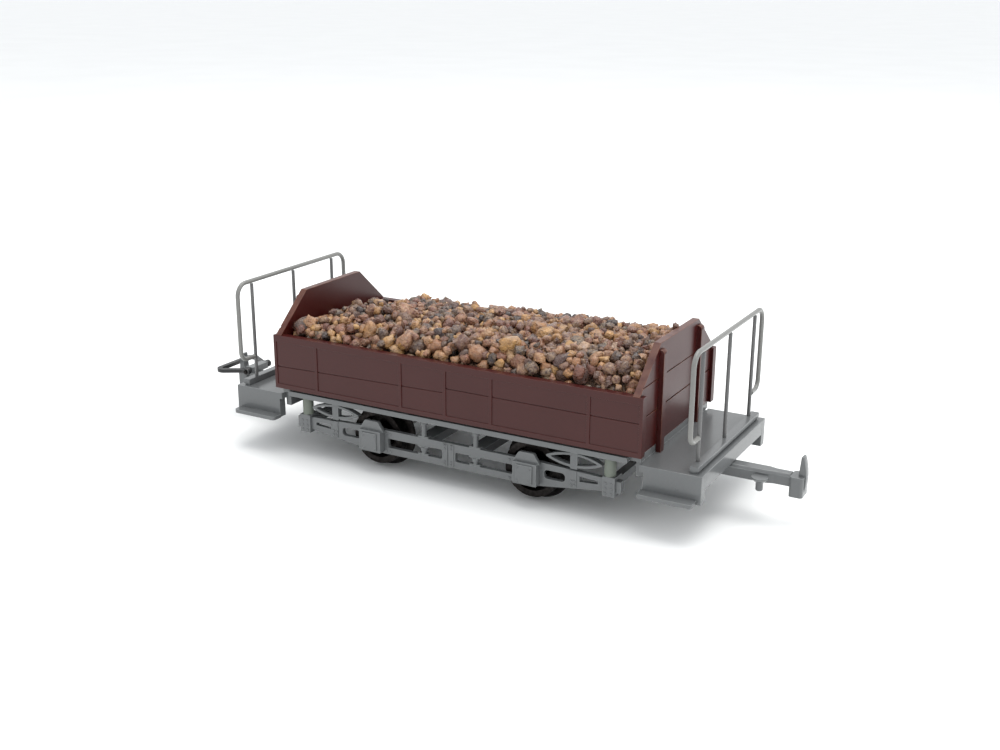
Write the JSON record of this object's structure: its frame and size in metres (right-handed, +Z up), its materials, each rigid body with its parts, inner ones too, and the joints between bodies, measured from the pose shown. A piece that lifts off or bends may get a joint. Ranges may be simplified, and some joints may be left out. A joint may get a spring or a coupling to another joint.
{
  "type": "model tramway ballast wagon",
  "caption": "Scale model of a two-axle tramway gravel wagon with fixed boarded body, railed end platforms, swinging couplers and rolling wheelsets.",
  "frame": {"origin": "midway between the axles, on the centre line, at the level of the rail tops", "axes": "+X to the front platform (the end whose coupler has no loop), +Y to the left side, +Z up"},
  "size_m": [0.0825, 0.0246, 0.0217],
  "materials": {
    "wagon_body": "satin maroon brown",
    "running_gear": "satin mid grey",
    "railing": "satin light grey",
    "pad": "matt grey",
    "gravel": "small mixed brown stones",
    "load_board": "matt",
    "steel": "plain",
    "wheel": "darkened with bright treads",
    "bush": "black",
    "brass": "turned",
    "coupling_loop": "black"
  },
  "bodies": {
    "wagon": {"axle_boxes_left": "running_gear", "axle_boxes_right": "running_gear", "axle_cups_left": "brass", "axle_cups_right": "brass", "ballast_weight": "steel", "body_screws": "steel", "corner_pads_left": "pad", "corner_pads_right": "pad", "drawbar_screw_front": "steel", "drawbar_screw_rear": "steel", "end_beam_front": "running_gear", "end_beam_rear": "running_gear", "end_board_front": "wagon_body", "end_board_rear": "wagon_body", "end_platform_front": "running_gear", "end_platform_rear": "running_gear", "footsteps_front": "running_gear", "footsteps_rear": "running_gear", "gravel_load": "gravel", "handrail_front": "railing", "handrail_rear": "railing", "leaf_springs_left": "running_gear", "leaf_springs_right": "running_gear", "load_board": "load_board", "railing_foot_front": "running_gear", "railing_foot_rear": "running_gear", "railing_posts_front": "railing", "railing_posts_rear": "railing", "side_board_left": "wagon_body", "side_board_right": "wagon_body", "sill_left": "running_gear", "sill_right": "running_gear", "tie_bolts_left": "running_gear", "tie_bolts_right": "running_gear", "tongue_screw_front": "steel", "tongue_screw_rear": "steel", "truck_end_bar_front": "running_gear", "truck_end_bar_rear": "running_gear", "truck_frame_left": "running_gear", "truck_frame_right": "running_gear", "truck_transom_front": "running_gear", "truck_transom_rear": "running_gear", "underframe_plate": "running_gear", "wagon_floor": "wagon_body"},
    "wheelset_front": {"axle_front": "steel", "wheels_front": "wheel", "wheel_bushes_front": "bush"},
    "wheelset_rear": {"axle_rear": "steel", "wheels_rear": "wheel", "wheel_bushes_rear": "bush"},
    "coupler_front": {"drawbar_front": "running_gear", "coupler_head_front": "running_gear"},
    "coupler_rear": {"drawbar_rear": "running_gear", "coupler_head_rear": "running_gear", "loop_pin": "coupling_loop"},
    "loop": {"coupling_loop": "coupling_loop"}
  },
  "joints": [
    {"name": "front_wheelset_spin", "type": "hinge", "parent": "wagon", "child": "wheelset_front", "pos_m": [0.01075, 0, 0.0035], "axis": [0, 1, 0], "continuous": true},
    {"name": "rear_wheelset_spin", "type": "hinge", "parent": "wagon", "child": "wheelset_rear", "pos_m": [-0.01075, 0, 0.0035], "axis": [0, 1, 0], "continuous": true},
    {"name": "front_coupler_swing", "type": "hinge", "parent": "wagon", "child": "coupler_front", "pos_m": [0.0272, 0, 0.0045], "axis": [0, 0, 1], "range_deg": [-18, 18]},
    {"name": "rear_coupler_swing", "type": "hinge", "parent": "wagon", "child": "coupler_rear", "pos_m": [-0.0272, 0, 0.0045], "axis": [0, 0, 1], "range_deg": [-18, 18]},
    {"name": "loop_lift", "type": "hinge", "parent": "coupler_rear", "child": "loop", "pos_m": [-0.0376, 0, 0.00565], "axis": [0, 1, 0], "range_deg": [0, 50]}
  ]
}
